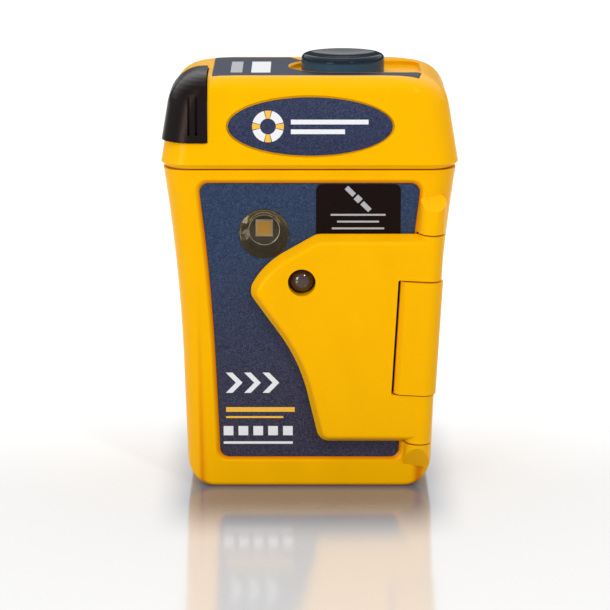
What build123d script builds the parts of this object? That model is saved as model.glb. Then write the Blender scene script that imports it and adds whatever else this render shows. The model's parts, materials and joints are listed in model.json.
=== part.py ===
from build123d import *
import math
import os

# Emergency position beacon, 51 mm wide, 32.5 mm deep and 75 mm tall over the winding knob.
# Millimetres. +Z is up, -Y is the front, and the origin is the middle of the base.

# ---- overall size ----
WIDTH = 51.0
DEPTH = 32.5
HEIGHT = 75.0
REAR_Y = DEPTH / 2

# ---- case: front view ----
CASE_HALF_LOW = 21.3        # half width at the base
CASE_HALF_KNEE = 22.0       # half width where the straight side ends
CASE_KNEE_Z = 22.0
CASE_HALF_TOP = 25.1        # half width under the head
CASE_TOP_Z = 57.0
CASE_CORNER = 5.0           # lower corners seen from the front
CASE_EDGE = 4.2             # upright edges seen from above
CASE_BASE_EDGE = 0.9        # edge round the base
CASE_WALL = 1.8
FRONT_WALL = 2.35

# ---- the leaning front face ----
LEAN = 3.0                  # degrees, outwards towards the top
LABEL_Y = -11.0             # the front label's surface at the base
RIM = 0.45                  # the case's front stands this far above the label
SHEET = 0.3                 # thickness of a label

# ---- head ----
HEAD_LOW_Z = 57.3
HEAD_WIDE_Z = 58.1
HEAD_TOP_Z = 72.8
HEAD_FRONT_Y = -15.4
HEAD_SIDE_SLOPE = 9.5       # degrees
HEAD_FACE_SLOPE = 7.5       # degrees, front and rear
HEAD_SHOULDER = 5.0         # rounding of the left and right top edges
HEAD_BROW = 2.6             # rounding of the front and rear top edges
HEAD_EDGE = 4.8             # upright edges seen from above
LIP = 0.8                   # how far the head's lower edge turns in

# ---- reel and knob ----
REEL_X = 5.8
REEL_Y = 0.8
KNOB_R = 7.25
KNOB_LOW_Z = 71.9
SCOOP_R = 7.65             # ends of the hollow round the knob
SCOOP_LEFT_X = -3.4
SCOOP_RIGHT_X = 19.2
SCOOP_FLOOR_Z = 71.6
DISH_R = 34.0               # curve of the knob's dished top
DISH_DEEP = 0.5
SHAFT_R = 2.9
FLANGE_R = 12.2
COIL_R = 11.7
DRUM_R = 8.6
TAPE_LOW_Z = 62.4
TAPE_WIDTH = 6.0
TAPE_THICK = 0.25

# ---- antenna tab in the front left corner of the head ----
TAB_X = -17.6
TAB_LOW_Z = 61.9
TAB_REAR_Y = -2.0
TAB_PROUD = 0.45
TAB_GAP = 0.2

# ---- flap and hinge, on the front face ----
FLAP_TOP = 45.9
FLAP_LOW = 8.55
FLAP_GAP = 0.25             # between the label and the flap's underside
HINGE_LOW_X = 18.9          # hinge axis at FLAP_LOW
HINGE_HIGH_X = 20.9         # hinge axis at FLAP_TOP
HINGE_RISE = 0.4            # hinge axis above the label's surface
BARREL_R = 2.3
KNUCKLE_FULL = (0.8, 4.4)   # full-size part of the fixed knuckles below and above the flap
KNUCKLE_ENDS = (5.2, 7.0)   # their whole length, with the sloping ends
KNUCKLE_CORNER = 1.5
PIN_ENDS = (2.4, 3.2)       # hinge pin below and above the flap
FLAP_FACE = HINGE_RISE + BARREL_R
BEVEL_WIDE = 2.1
BEVEL_DEEP = 1.15
FLAP_HOLLOW = 1.5           # height of the space over the buttons
FLAP_WALL = 1.3
BLOCK_LOW = 9.0             # hinge block, measured along the hinge from FLAP_LOW
BLOCK_HIGH = 29.2
BLOCK_WIDE = 4.8            # from the hinge axis towards the middle
BLOCK_PROUD = 0.3
BLOCK_GAP = 0.42            # room for the flap's edge to swing past the block
GAP = 0.25
PIN_R = 0.75
POST_DEEP = 4.5             # the hinge's post, behind the label's surface

# ---- lights and buttons, (x, height up the front face) ----
STROBE = (-7.85, 45.8)
STROBE_R = 4.3
STATUS = (-1.36, 37.8)
STATUS_R = 2.1
PIPE_PROUD = 2.3            # the status lamp's light pipe, in front of the label
FLAP_HOLE_R = 2.4
ON_BUTTON = (6.3, 31.0)
ON_SIZE = (9.5, 6.4)
TEST_BUTTON = (7.6, 16.8)
TEST_R = 2.6
BUTTON_PROUD = 1.0
BUTTON_GAP = 0.2
BUTTON_FOOT = -3.4
BADGE = (0.1, 64.6)
BADGE_SIZE = (28.1, 9.9)

# ---- inside ----
BOARD_FACE = -6.6
BOARD_THICK = 1.0
BOARD_LOW = 7.0
BOARD_HIGH = 51.5
BOARD_HALF = 15.8
CELL_R = 8.4
CELL_LENGTH = 34.0
CELL_X = 8.75
CELL_Y = 5.7
CELL_LOW_Z = 5.2
PANEL_X = (1.1, 15.6)
PANEL_LOW = 40.0
LABEL_MARGIN = 5.7
LABEL_LOW = 5.4
LABEL_HIGH = 54.8
LABEL_CORNER = 1.6

# ---- lanyard notch in the rear left corner ----
NOTCH_X = -16.9
NOTCH_Y = 11.6
NOTCH_Z = (7.0, 14.0)
LANYARD_PIN = (-18.9, 13.7)
LANYARD_PIN_R = 1.1

lean = math.radians(LEAN)
FACE_OUT = Vector(0, -math.cos(lean), -math.sin(lean))
FACE_UP = Vector(0, -math.sin(lean), math.cos(lean))
FACE = Plane(origin=(0, LABEL_Y, 0), x_dir=(1, 0, 0), z_dir=FACE_OUT)

slant = math.atan2(HINGE_HIGH_X - HINGE_LOW_X, FLAP_TOP - FLAP_LOW)
HINGE_UP = Vector(1, 0, 0) * math.sin(slant) + FACE_UP * math.cos(slant)
HINGE_POINT = FACE.from_local_coords(Vector(HINGE_LOW_X, FLAP_LOW, HINGE_RISE))
HINGE_FOOT = FACE.from_local_coords(Vector(HINGE_LOW_X, FLAP_LOW, 0))
HINGE_ACROSS = HINGE_UP.cross(FACE_OUT)
HINGE = Plane(origin=HINGE_POINT, x_dir=HINGE_ACROSS, z_dir=HINGE_UP)
HINGE_FACE = Plane(origin=HINGE_FOOT, x_dir=HINGE_ACROSS, z_dir=FACE_OUT)
HINGE_LENGTH = math.hypot(HINGE_HIGH_X - HINGE_LOW_X, FLAP_TOP - FLAP_LOW)
KNUCKLE_LOW = -KNUCKLE_ENDS[0]
KNUCKLE_TOP = HINGE_LENGTH + KNUCKLE_ENDS[1]


# ---- helpers ----

def box(low, high):
    """A box between two corners."""
    size = [b - a for a, b in zip(low, high)]
    middle = [(a + b) / 2 for a, b in zip(low, high)]
    return Pos(*middle) * Box(*size)


def on_face(sketch, place, low, high):
    """A prism standing on the front face: sketch at (x, height), from low to high."""
    return extrude(FACE.offset(low) * Pos(*place) * sketch, amount=high - low)


def rod(plane, radius, low, high):
    """A round bar along a plane's normal."""
    return extrude(plane.offset(low) * Circle(radius), amount=high - low)


def face_y(z, above=0.0):
    """Depth of the front face at a height, raised above the label by a distance."""
    return LABEL_Y - z * math.tan(lean) - above / math.cos(lean)


# ---- outer forms ----

def case_outline(inset, low, top, corner):
    """The case from the front: straight sides that curve outwards, rounded lower corners."""
    with BuildSketch() as sketch:
        with BuildLine():
            side = Line((CASE_HALF_LOW - inset, low), (CASE_HALF_KNEE - inset, CASE_KNEE_Z))
            flare = TangentArc(side @ 1, (CASE_HALF_TOP - inset, CASE_TOP_Z), tangent=side % 1)
            Line(flare @ 1, (CASE_HALF_TOP - inset, top))
            Line((CASE_HALF_TOP - inset, top), (0, top))
            Line((0, low), side @ 0)
            mirror(about=Plane.YZ)
        make_face()
        if corner:
            fillet(sketch.vertices().group_by(Axis.Y)[0], corner)
    return sketch.sketch


def case_form(inset, front_inset, top=CASE_TOP_Z):
    """The case as a solid, shrunk by an inset: flared outline, leaning front, upright rear."""
    depth = 3 * DEPTH
    square = extrude(Plane.XZ * case_outline(inset, inset, top, 0), amount=depth, both=True)
    front = RIM - front_inset
    rear = REAR_Y - inset
    points = [(face_y(-5, front), -5), (face_y(top, front), top), (rear, top), (rear, -5)]
    profile = make_face(Polyline(*points, close=True).edges())
    profile = extrude(Plane.YZ * profile, amount=WIDTH, both=True)
    body = square & profile
    uprights = [e for e in body.edges() if abs(e.center().X) > 15 and e.bounding_box().size.Z > 10]
    body = fillet(uprights, max(CASE_EDGE - inset, 1.2))
    body &= extrude(Plane.XZ * case_outline(inset, inset, top, CASE_CORNER - inset), amount=depth, both=True)
    if inset:
        return body
    base = [e for e in body.edges() if e.bounding_box().max.Z < 8 and e.bounding_box().size.Y < 6]
    return fillet(base, CASE_BASE_EDGE)


def head_section(z, inset):
    """The head's outline from above at one height."""
    rise = z - HEAD_WIDE_Z
    under = HEAD_TOP_Z - z

    def rounding(radius):
        return radius - math.sqrt(radius**2 - (radius - under)**2) if under < radius else 0.0

    half = WIDTH / 2 - rise * math.tan(math.radians(HEAD_SIDE_SLOPE)) - rounding(HEAD_SHOULDER) - inset
    step = rise * math.tan(math.radians(HEAD_FACE_SLOPE)) + rounding(HEAD_BROW) + inset
    low = HEAD_FRONT_Y + step
    high = REAR_Y - step
    corner = HEAD_EDGE + 0.35 * rounding(HEAD_SHOULDER) - 0.5 * inset
    return Pos(0, (low + high) / 2, z) * RectangleRounded(2 * half, high - low, corner)


def head_form(inset=0.0):
    """The head's outer form: sloping sides, round shoulders and a lower edge that turns in."""
    start = HEAD_TOP_Z - HEAD_SHOULDER
    heights = [start + HEAD_SHOULDER * math.sin(math.radians(step)) for step in range(0, 91, 10)]
    upper = loft([head_section(z, inset) for z in [HEAD_WIDE_Z] + heights], ruled=True)
    lower_edge = head_section(HEAD_WIDE_Z, inset + LIP)
    lower_edge = Pos(0, 0, HEAD_LOW_Z - HEAD_WIDE_Z) * lower_edge
    lower = loft([lower_edge, head_section(HEAD_WIDE_Z, inset)], ruled=True)
    return upper + lower


def label_outline(margin, corner):
    """The front label: the case's outline, drawn in by a margin."""
    grow = LABEL_MARGIN - margin
    below = Pos(0, LABEL_HIGH + grow - HEIGHT / 2) * Rectangle(2 * WIDTH, HEIGHT)
    shape = case_outline(margin, LABEL_LOW - grow, HEIGHT, 0) & below
    corners = shape.vertices().sort_by(Axis.Y)
    return fillet(corners[:2] + corners[-2:], corner)


def scoop_outline(grow=0.0):
    """The hollow round the knob: half round on the left, and long towards the right-hand side."""
    left = SCOOP_LEFT_X + SCOOP_R
    length = SCOOP_RIGHT_X + grow - left
    tail = Pos(left + length / 2, REEL_Y) * Rectangle(length, 2 * (SCOOP_R + grow))
    shape = tail + Pos(left, REEL_Y) * Circle(SCOOP_R + grow)
    return fillet(shape.vertices().sort_by(Axis.X)[-2:], 3.0)


def oblong(size, grow=0.0):
    """A rectangle with nearly half-round ends."""
    wide = size[0] + 2 * grow
    high = size[1] + 2 * grow
    return RectangleRounded(wide, high, high * 0.45)


# ---- shells ----

def make_case_tub():
    """The lower case: an open-topped shell with the label's recess and half of the hinge."""
    body = case_form(0, 0)
    rail = rod(HINGE, BARREL_R + 1.5, KNUCKLE_LOW + 1, KNUCKLE_TOP) & body
    boss = box((-30, NOTCH_Y - 1.0, NOTCH_Z[0] - 1.5), (NOTCH_X + 1.0, 30, NOTCH_Z[1] + 1.5)) & body
    body -= case_form(CASE_WALL, FRONT_WALL)
    body += rail + boss + hinge_post()

    # Recess for the label, with a sloping edge.
    body -= on_face(label_outline(LABEL_MARGIN, LABEL_CORNER), (0, 0), -SHEET, 0)
    mouth = [FACE * label_outline(LABEL_MARGIN, LABEL_CORNER),
             FACE.offset(RIM + 0.05) * label_outline(LABEL_MARGIN - 0.8, LABEL_CORNER + 0.5)]
    body -= loft(mouth, ruled=True)

    # Seat under the flap's hinged edge, the channel for the barrel, and the fixed knuckle.
    seat_high = FLAP_TOP + GAP
    seat_low = FLAP_LOW - GAP
    body -= on_face(Rectangle(12, seat_high - seat_low), (21, (seat_high + seat_low) / 2), 0, 3)
    body -= rod(HINGE, BARREL_R + GAP, -GAP, HINGE_LENGTH + GAP)
    body -= rod(HINGE, PIN_R + 0.03, -PIN_ENDS[0] - 0.1, HINGE_LENGTH + PIN_ENDS[1] + 0.1)

    # Windows for the lights and holes for the buttons.
    body -= on_face(Circle(STROBE_R + 0.05), STROBE, -5, 2)
    body -= on_face(Circle(STATUS_R + 0.05), STATUS, -5, 2)
    body -= on_face(oblong(ON_SIZE, BUTTON_GAP), ON_BUTTON, -5, 2)
    body -= on_face(Circle(TEST_R + BUTTON_GAP), TEST_BUTTON, -5, 2)

    # Lanyard notch and the bore for its pin, the rear label's recess and the screw holes.
    body -= box((-30, NOTCH_Y, NOTCH_Z[0]), (NOTCH_X, 30, NOTCH_Z[1]))
    body -= Pos(*LANYARD_PIN, sum(NOTCH_Z) / 2) * Cylinder(LANYARD_PIN_R, 9.4)
    body -= rear_sheet(SHEET)
    for x, z in screw_places():
        body -= screw(x, z, 0.1)
    return body


def hinge_post():
    """The hinge's post: a barrel on a rail that fills the case's front right corner.

    It is full size next to the flap, and slopes down to the face above and below it."""
    length = KNUCKLE_TOP - KNUCKLE_LOW
    footprint = RectangleRounded(2 * BARREL_R, length, KNUCKLE_CORNER)
    footprint = Pos(0, (KNUCKLE_TOP + KNUCKLE_LOW) / 2) * footprint
    post = extrude(HINGE_FACE.offset(-POST_DEEP) * footprint, amount=POST_DEEP + HINGE_RISE)
    post += rod(HINGE, BARREL_R, KNUCKLE_LOW, KNUCKLE_TOP)
    full_low = -KNUCKLE_FULL[0]
    full_high = HINGE_LENGTH + KNUCKLE_FULL[1]
    points = [(-POST_DEEP, KNUCKLE_LOW), (0, KNUCKLE_LOW), (FLAP_FACE, full_low),
              (FLAP_FACE, HINGE_LENGTH), (FLAP_FACE - 0.15, full_high), (0, KNUCKLE_TOP),
              (-POST_DEEP, KNUCKLE_TOP)]
    side = Plane(origin=HINGE_FOOT, x_dir=FACE_OUT, z_dir=FACE_OUT.cross(HINGE_UP))
    slopes = extrude(side * make_face(Polyline(*points, close=True).edges()), amount=10, both=True)
    post &= slopes
    post &= extrude(HINGE_FACE.offset(-POST_DEEP) * footprint, amount=3 * POST_DEEP)
    return post - case_form(CASE_WALL, FRONT_WALL)


def rear_sheet(depth):
    """The data label's space on the rear face."""
    outline = Plane.XZ * Pos(0, 31) * RectangleRounded(31, 34, 2)
    return Pos(0, REAR_Y, 0) * extrude(outline, amount=depth)


def make_head_cover():
    """The head: a shell with a scoop round the knob and a pocket for the antenna tab."""
    outer = head_form()
    lower = loft([Pos(0, 1.75, 54) * RectangleRounded(42.4, 24.7, 3),
                  Pos(0, 1.75, 60) * RectangleRounded(42.8, 25.1, 3)])
    upper = loft([Pos(0, 0.9, 59.9) * RectangleRounded(44.4, 27.4, 3),
                  Pos(0, 0.4, 66) * RectangleRounded(43.6, 26.4, 3),
                  Pos(0, 0.5, 69.9) * RectangleRounded(39, 25.8, 3)], ruled=True)
    spigot = case_form(CASE_WALL + 0.15, FRONT_WALL + 0.15, 58) & box((-30, -30, 54), (30, 30, 58))
    pocket_low = (-30, -30, TAB_LOW_Z - TAB_GAP)
    pocket = box(pocket_low, (TAB_X + TAB_GAP, TAB_REAR_Y + TAB_GAP, 80))
    pocket_walls = box((-30, -30, pocket_low[2] - 1.3), (TAB_X + 1.6, TAB_REAR_Y + 1.6, 80)) & outer
    scoop = extrude(Pos(0, 0, SCOOP_FLOOR_Z) * scoop_outline(), amount=5)
    scoop = fillet(scoop.faces().sort_by(Axis.Z)[0].edges(), 0.5)
    scoop += loft([Pos(0, 0, HEAD_TOP_Z - 0.3) * scoop_outline(),
                   Pos(0, 0, HEAD_TOP_Z) * scoop_outline(0.3)], ruled=True)
    body = outer + spigot - lower - upper
    body += pocket_walls - box((TAB_X + 1.5, -30, 0), (30, 30, 54))
    body -= pocket
    body -= scoop
    body -= Pos(REEL_X, REEL_Y, 70) * Cylinder(SHAFT_R + 0.07, 8)
    body -= top_sheet(0.1)
    body -= badge_space(0.35, 0.35)
    body -= box((TAB_X - 1, tape_y() - 0.45, TAPE_LOW_Z - 0.3),
                (TAB_X + 3, tape_y() + 0.45, TAPE_LOW_Z + TAPE_WIDTH + 0.3))
    for x, z in screw_places()[:2]:
        body -= screw(x, z, 0.1)
    return body


def badge_plane():
    """The plane of the head's sloping front, at the badge's centre."""
    tilt = math.radians(HEAD_FACE_SLOPE)
    y = HEAD_FRONT_Y + (BADGE[1] - HEAD_WIDE_Z) * math.tan(tilt)
    return Plane(origin=(BADGE[0], y, BADGE[1]), x_dir=(1, 0, 0), z_dir=(0, -math.cos(tilt), math.sin(tilt)))


def badge_space(depth, grow):
    """An elliptical slice let into the head's front."""
    ellipse = Ellipse(BADGE_SIZE[0] / 2 + grow, BADGE_SIZE[1] / 2 + grow)
    return extrude(badge_plane().offset(-depth) * ellipse, amount=depth + 1)


def top_sheet(grow=0.0):
    """The top label: a thin sheet on the head that runs along the front and down the left side."""
    left = TAB_X + 1.0
    points = [(left, -10.7), (18.6, -10.7), (19.2, -7.0), (5, -5.0), (-3.4, 11.2), (left, 11.2)]
    outline = make_face(Polyline(*points, close=True).edges()) - scoop_outline(0.45)
    outline = outline.faces().sort_by(Axis.X)[0]
    if grow:
        outline = offset(outline, grow)
    prism = extrude(Pos(0, 0, HEAD_TOP_Z - 1) * outline, amount=2)
    return (prism & head_form()) - Pos(0, 0, -SHEET) * head_form(SHEET)


# ---- head's moving parts ----

def tape_y():
    """The tape leaves the coil along its front tangent."""
    return REEL_Y - COIL_R + TAPE_THICK


def make_antenna_tab():
    """The black corner piece that is pulled to draw the antenna out."""
    grown = Pos(0, 0, TAB_PROUD) * head_form(-TAB_PROUD)
    body = grown & box((-30, -30, TAB_LOW_Z), (TAB_X, TAB_REAR_Y, 80))
    body &= box((-WIDTH / 2, -30, 0), (0, 30, HEAD_TOP_Z + TAB_PROUD))
    for k in range(2):
        x = TAB_X - 1.9 - 1.3 * k
        body -= box((x, -30, TAB_LOW_Z + 1.2), (x + 0.4, -14.0, HEAD_TOP_Z - 3.2))
    body -= box((TAB_X - 2, tape_y() - 0.3, TAPE_LOW_Z - 0.15),
                (TAB_X + 1, tape_y() + 0.3, TAPE_LOW_Z + TAPE_WIDTH + 0.15))
    return body


def make_antenna_tape():
    """The straight end of the steel tape, from the tab to the coil."""
    return box((TAB_X - 1.9, tape_y() - TAPE_THICK / 2, TAPE_LOW_Z),
               (REEL_X - 4, tape_y() + TAPE_THICK / 2, TAPE_LOW_Z + TAPE_WIDTH))


def make_winder_knob():
    """The round knob, shallowly dished on top, with the shaft that drives the reel."""
    knob = Cylinder(KNOB_R, HEIGHT - KNOB_LOW_Z, align=(Align.CENTER, Align.CENTER, Align.MIN))
    knob = Pos(0, 0, KNOB_LOW_Z) * knob
    knob = fillet(knob.edges().sort_by(Axis.Z)[-1:], 0.9)
    knob -= Pos(0, 0, HEIGHT + DISH_R - DISH_DEEP) * Sphere(DISH_R)
    shaft = Pos(0, 0, (KNOB_LOW_Z + 61.5) / 2) * Cylinder(SHAFT_R, KNOB_LOW_Z - 61.5)
    pivot = Pos(0, 0, 60.2) * Cylinder(1.9, 2.6)
    return Pos(REEL_X, REEL_Y, 0) * (knob + shaft + pivot)


def ring(outer, inner, low, high):
    """A ring about the reel's axis."""
    tube = Cylinder(outer, high - low) - Cylinder(inner, high - low)
    return Pos(REEL_X, REEL_Y, (low + high) / 2) * tube


# ---- flap and hinge ----

def flap_outline():
    """The flap's outline: a blunt point on the left, full above it and hollow below it."""
    brow = (1.2, FLAP_TOP)
    tip = (-10.55, 35.6)
    foot = (1.7, FLAP_LOW)
    with BuildSketch() as sketch:
        with BuildLine():
            Line((HINGE_HIGH_X, FLAP_TOP), brow)
            upper = Line(brow, (-4.5, 42.6))
            TangentArc(upper @ 1, tip, tangent=upper % 1)
            lower = Line(tip, (-5.3, 28.2))
            hollow = TangentArc(lower @ 1, (-0.2, 16.6), tangent=lower % 1)
            Line(hollow @ 1, foot)
            Line(foot, (HINGE_LOW_X, FLAP_LOW))
            Line((HINGE_LOW_X, FLAP_LOW), (HINGE_HIGH_X, FLAP_TOP))
        make_face()
        for place, radius in ((brow, 3.0), (tip, 2.7), (foot, 2.2)):
            fillet(sketch.vertices().sort_by_distance(place)[0], radius)
    return sketch.sketch


def make_flap():
    """The hinged flap over the buttons: a bevelled tray with two knuckles on its right edge."""
    plate = on_face(flap_outline(), (0, 0), FLAP_GAP, FLAP_FACE)
    top = [f for f in plate.faces() if (f.center() - FACE.origin).dot(FACE_OUT) > FLAP_FACE - 0.01][0]
    rim = [e for e in top.edges() if e.center().X < 17.5]
    plate = chamfer(rim, BEVEL_DEEP, BEVEL_WIDE, reference=top)
    top = [f for f in plate.faces() if (f.center() - FACE.origin).dot(FACE_OUT) > FLAP_FACE - 0.01][0]
    plate = fillet([e for e in top.edges() if e.center().X < 17.5], 0.9)
    barrel = rod(HINGE, BARREL_R, 0, HINGE_LENGTH)
    body = plate + barrel
    inner = offset(flap_outline(), -FLAP_WALL - 0.9)
    hollow = on_face(inner, (0, 0), 0, FLAP_GAP + FLAP_HOLLOW)
    hollow -= on_face(Rectangle(20, 60), (14 + 10, 30), 0, 3)
    hollow -= on_face(Circle(FLAP_HOLE_R + 1.0), STATUS, 0, 3)
    body -= hollow
    body -= on_face(Circle(FLAP_HOLE_R), STATUS, 0, 4)
    notch = RectangleRounded(20, BLOCK_HIGH - BLOCK_LOW + 2 * GAP, 0.3)
    notch_place = Pos(10 - BLOCK_WIDE - BLOCK_GAP, (BLOCK_HIGH + BLOCK_LOW) / 2)
    body -= extrude(HINGE_FACE.offset(-3) * notch_place * notch, amount=8)
    body -= rod(HINGE, PIN_R + 0.07, -1, HINGE_LENGTH + 1)
    return body


def make_hinge_block():
    """The fixed middle of the hinge: it holds the pin and hides the closing spring."""
    length = BLOCK_HIGH - BLOCK_LOW
    barrel = rod(HINGE, BARREL_R + BLOCK_PROUD, BLOCK_LOW, BLOCK_HIGH)
    place = Pos(-BLOCK_WIDE / 2, (BLOCK_HIGH + BLOCK_LOW) / 2)
    top = HINGE_RISE + BARREL_R + BLOCK_PROUD
    plate = extrude(HINGE_FACE * place * Rectangle(BLOCK_WIDE, length), amount=top)
    left = [e for e in plate.edges().filter_by(lambda e: e.length > 10)
            if (e.center() - HINGE_FOOT).dot(HINGE_ACROSS) < -1
            and (e.center() - HINGE_FOOT).dot(FACE_OUT) > 1]
    plate = chamfer(left, 0.9)
    body = plate + barrel
    body -= rod(HINGE, BARREL_R + GAP, -5, BLOCK_LOW)
    body -= rod(HINGE, PIN_R + 0.03, BLOCK_LOW - 1, BLOCK_HIGH + 1)
    body -= rod(HINGE, 1.75, BLOCK_LOW + 5, BLOCK_HIGH - 5)
    return body & block_room()


def block_room():
    """The space the hinge block may fill: in front of the label, or in the barrel's channel."""
    front = extrude(HINGE_FACE * Pos(0, HINGE_LENGTH / 2) * Rectangle(30, 60), amount=6)
    return front + rod(HINGE, BARREL_R + GAP - 0.02, -5, HINGE_LENGTH)


def make_hinge_spring():
    """The closing spring: a close coil round the pin, one torus for each turn."""
    turns = []
    for k in range(12):
        height = BLOCK_LOW + 5.6 + 0.8 * k
        turns.append(HINGE.offset(height) * Torus(1.3, 0.3))
    return Compound(children=turns)


# ---- buttons ----

def make_button(sketch, foot, place):
    """A button: a cap that stands out of the face and a foot that keeps it in the case."""
    cap = on_face(sketch, place, BUTTON_FOOT + 0.8, BUTTON_PROUD)
    edge = [e for e in cap.edges() if (e.center() - FACE.origin).dot(FACE_OUT) > BUTTON_PROUD - 0.01]
    cap = fillet(edge, 0.45)
    return cap + on_face(foot, place, BUTTON_FOOT, BUTTON_FOOT + 0.8)


# ---- fasteners ----

def screw_places():
    """The four case screws on the rear face: two into the head, two into the cradle."""
    return [(-17.0, 55.4), (17.0, 55.4), (-12.0, 3.9), (12.0, 3.9)]


def screw(x, z, grow=0.0):
    """A countersunk screw in the rear face; grow makes its hole."""
    head = Cylinder(1.6 + grow, 0.8 + 2 * grow, align=(Align.CENTER, Align.CENTER, Align.MIN))
    shank = Cylinder(0.7 + grow, 3.0 + 4 * grow, align=(Align.CENTER, Align.CENTER, Align.MIN))
    whole = head + shank
    depth = 0.15 if grow == 0 else 0
    whole = Pos(x, REAR_Y - depth, z) * Rot(90, 0, 0) * whole
    if grow == 0:
        whole -= Pos(x, REAR_Y - depth, z) * Box(1.8, 1.0, 0.4)
        whole -= Pos(x, REAR_Y - depth, z) * Box(0.4, 1.0, 1.8)
    return whole


def save(name, shape):
    """Write one sub-part."""
    export_step(shape, os.path.join("parts", name + ".step"))


# ---- seals and labels ----

def make_head_seal():
    """The flat seal clamped between the case and the head."""
    gap = HEAD_LOW_Z - CASE_TOP_Z
    outer = case_form(0.9, 0.9, HEAD_LOW_Z + 1) - case_form(CASE_WALL, FRONT_WALL, HEAD_LOW_Z + 1)
    return outer & box((-30, -30, CASE_TOP_Z), (30, 30, CASE_TOP_Z + gap))


def make_front_label():
    """The front label with its windows."""
    sheet = on_face(label_outline(LABEL_MARGIN + 0.08, LABEL_CORNER), (0, 0), -SHEET, 0)
    sheet -= on_face(Circle(STROBE_R + 0.05), STROBE, -2, 2)
    sheet -= on_face(Circle(STATUS_R + 0.1), STATUS, -2, 2)
    sheet -= on_face(oblong(ON_SIZE, BUTTON_GAP + 0.1), ON_BUTTON, -2, 2)
    sheet -= on_face(Circle(TEST_R + BUTTON_GAP + 0.1), TEST_BUTTON, -2, 2)
    sheet -= rod(HINGE, BARREL_R + GAP + 0.02, -1, HINGE_LENGTH + 1)
    return sheet


def make_sky_window():
    """The thin dark panel over the satellite receiver's antenna."""
    middle = (sum(PANEL_X) / 2, (PANEL_LOW + LABEL_HIGH - 0.2) / 2)
    size = (PANEL_X[1] - PANEL_X[0], LABEL_HIGH - 0.2 - PANEL_LOW)
    return on_face(RectangleRounded(*size, 1.1), middle, 0, 0.08)


def make_badge():
    """The elliptical badge on the head's front."""
    return extrude(badge_plane().offset(-0.35) * Ellipse(BADGE_SIZE[0] / 2, BADGE_SIZE[1] / 2), amount=0.35)


# ---- lights ----

def make_strobe_lens():
    """The strobe's clear cover: a shallow dome that stands a little out of the label."""
    sphere_r = 12.0
    high = 1.0
    disc = on_face(Circle(STROBE_R), STROBE, -0.4, high)
    middle = FACE.from_local_coords(Vector(*STROBE, high - sphere_r))
    disc &= Pos(*middle) * Sphere(sphere_r)
    return disc - Pos(*middle) * Sphere(sphere_r - 0.9)


def make_strobe_reflector():
    """The strobe's reflector: a ring with a conical mirror inside."""
    ring_out = on_face(Circle(STROBE_R), STROBE, -3.0, -0.42)
    bowl = [FACE.offset(-3.0) * Pos(*STROBE) * Circle(2.7), FACE.offset(-0.42) * Pos(*STROBE) * Circle(4.05)]
    return ring_out - loft(bowl, ruled=True)


def make_strobe_led():
    """The strobe's light chip on its small round board."""
    board = on_face(Circle(STROBE_R), STROBE, -4.0, -3.02)
    place = (STROBE[0], STROBE[1] + 0.45)
    base = on_face(Rectangle(3.2, 3.2), place, -3.02, -2.5)
    chip = on_face(Rectangle(2.6, 2.6), place, -2.5, -2.2)
    return board + base + chip


def make_status_lens():
    """The smoked light pipe of the status lamp, with a collar behind the case wall."""
    pipe = on_face(Circle(STATUS_R), STATUS, -5.6, PIPE_PROUD)
    edge = [e for e in pipe.edges() if (e.center() - FACE.origin).dot(FACE_OUT) > PIPE_PROUD - 0.01]
    pipe = fillet(edge, STATUS_R - 0.3)
    return pipe + on_face(Circle(STATUS_R + 0.9), STATUS, -3.0, RIM - FRONT_WALL)


# ---- electronics ----

def board_plate(half, low, high, face, thick):
    """A plate parallel to the front face."""
    return on_face(RectangleRounded(2 * half, high - low, 1.2), (0, (low + high) / 2), face - thick, face)


def make_main_board():
    """The printed circuit board, with two holes for its screws."""
    board = board_plate(BOARD_HALF, BOARD_LOW, BOARD_HIGH, BOARD_FACE, BOARD_THICK)
    for place in board_screw_places():
        board -= on_face(Circle(0.9), place, BOARD_FACE - 2, BOARD_FACE + 2)
    return board


def board_screw_places():
    """The board's screws, (x, height up the face)."""
    return [(-13.6, 9.6), (13.6, 9.6)]


def make_keypad():
    """The rubber keypad behind the buttons: a sheet with one plunger under each button."""
    sheet = board_plate(14.0, 11.5, 39.5, BUTTON_FOOT - 0.8, 0.7)
    sheet -= on_face(Circle(STATUS_R + 0.4), STATUS, -8, 0)
    for place in (ON_BUTTON, TEST_BUTTON):
        sheet += on_face(Circle(1.4), place, -5.9, BUTTON_FOOT - 1.4)
    return sheet


def make_dome_switches():
    """The snap domes on the board, one under each plunger."""
    domes = []
    for place in (ON_BUTTON, TEST_BUTTON):
        dome = on_face(Circle(2.8), place, BOARD_FACE, BOARD_FACE + 0.25)
        dome += on_face(Circle(1.8), place, BOARD_FACE + 0.25, BOARD_FACE + 0.6)
        domes.append(dome)
    return Compound(children=domes)


def make_shield_cans():
    """The two screening cans over the transmitter, on the back of the board."""
    cans = []
    for x in (-7.8, 7.8):
        back = BOARD_FACE - BOARD_THICK
        cans.append(on_face(RectangleRounded(13.5, 9.5, 1.0), (x, 45.5), back - 2.4, back))
    return Compound(children=cans)


def make_cell(side):
    """One lithium cell, upright in the cradle."""
    cell = Cylinder(CELL_R, CELL_LENGTH, align=(Align.CENTER, Align.CENTER, Align.MIN))
    cell = fillet(cell.edges().filter_by(GeomType.CIRCLE), 0.6)
    cell += Pos(0, 0, CELL_LENGTH) * Cylinder(3.0, 0.8, align=(Align.CENTER, Align.CENTER, Align.MIN))
    return Pos(side * CELL_X, CELL_Y, CELL_LOW_Z) * cell


def make_cell_tabs():
    """The welded strip that joins the two cells at the top."""
    top = CELL_LOW_Z + CELL_LENGTH + 0.8
    return box((-CELL_X - 3, CELL_Y - 2.5, top), (CELL_X + 3, CELL_Y + 2.5, top + 0.2))


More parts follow.
